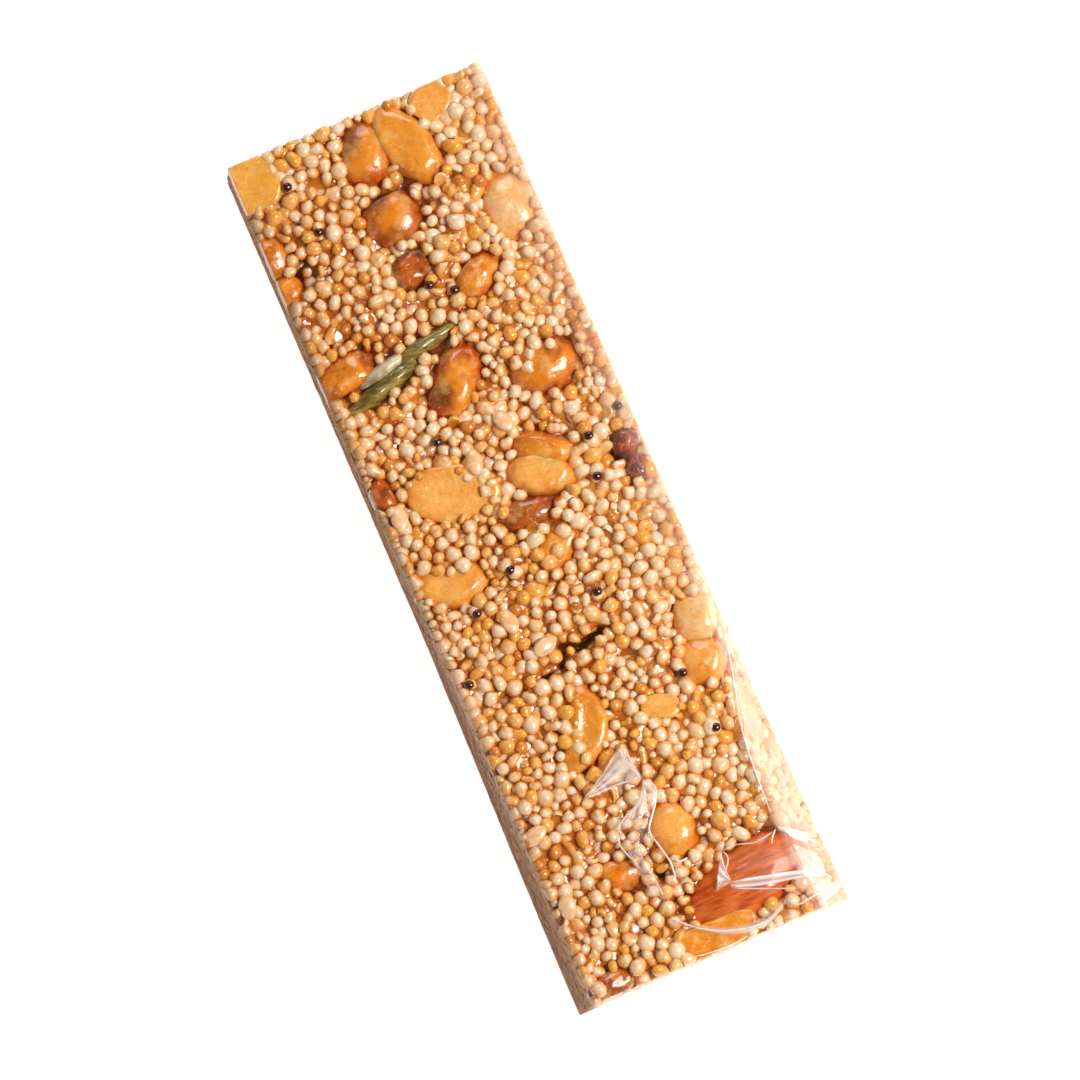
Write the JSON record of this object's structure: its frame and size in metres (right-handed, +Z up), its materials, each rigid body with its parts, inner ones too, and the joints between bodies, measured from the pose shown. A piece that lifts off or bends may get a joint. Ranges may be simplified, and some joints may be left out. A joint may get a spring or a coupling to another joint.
{
  "type": "peanut and puffed grain brittle bar",
  "caption": "Flat oblong bar of peanuts, puffed grain and seeds set in amber syrup, sealed in clear wrap with pleats at one end.",
  "frame": {"origin": "middle of the bar's underside, which it rests on", "axes": "+Y along the bar towards the end without pleats, +X across it towards the sloped shoulder, +Z up through the nut side"},
  "size_m": [0.0448, 0.14, 0.014],
  "materials": {
    "brittle": "hard amber syrup, glossy, between the grains",
    "puffed_grain": "cream puffed grain with a thin sugar glaze",
    "nut": "roasted nut under a thin sugar glaze",
    "seed": "dark glossy seed",
    "film": "clear thin wrap, high gloss, whitish along its pleats"
  },
  "bodies": {
    "root": {"wrapped_bar": "brittle"}
  },
  "joints": []
}
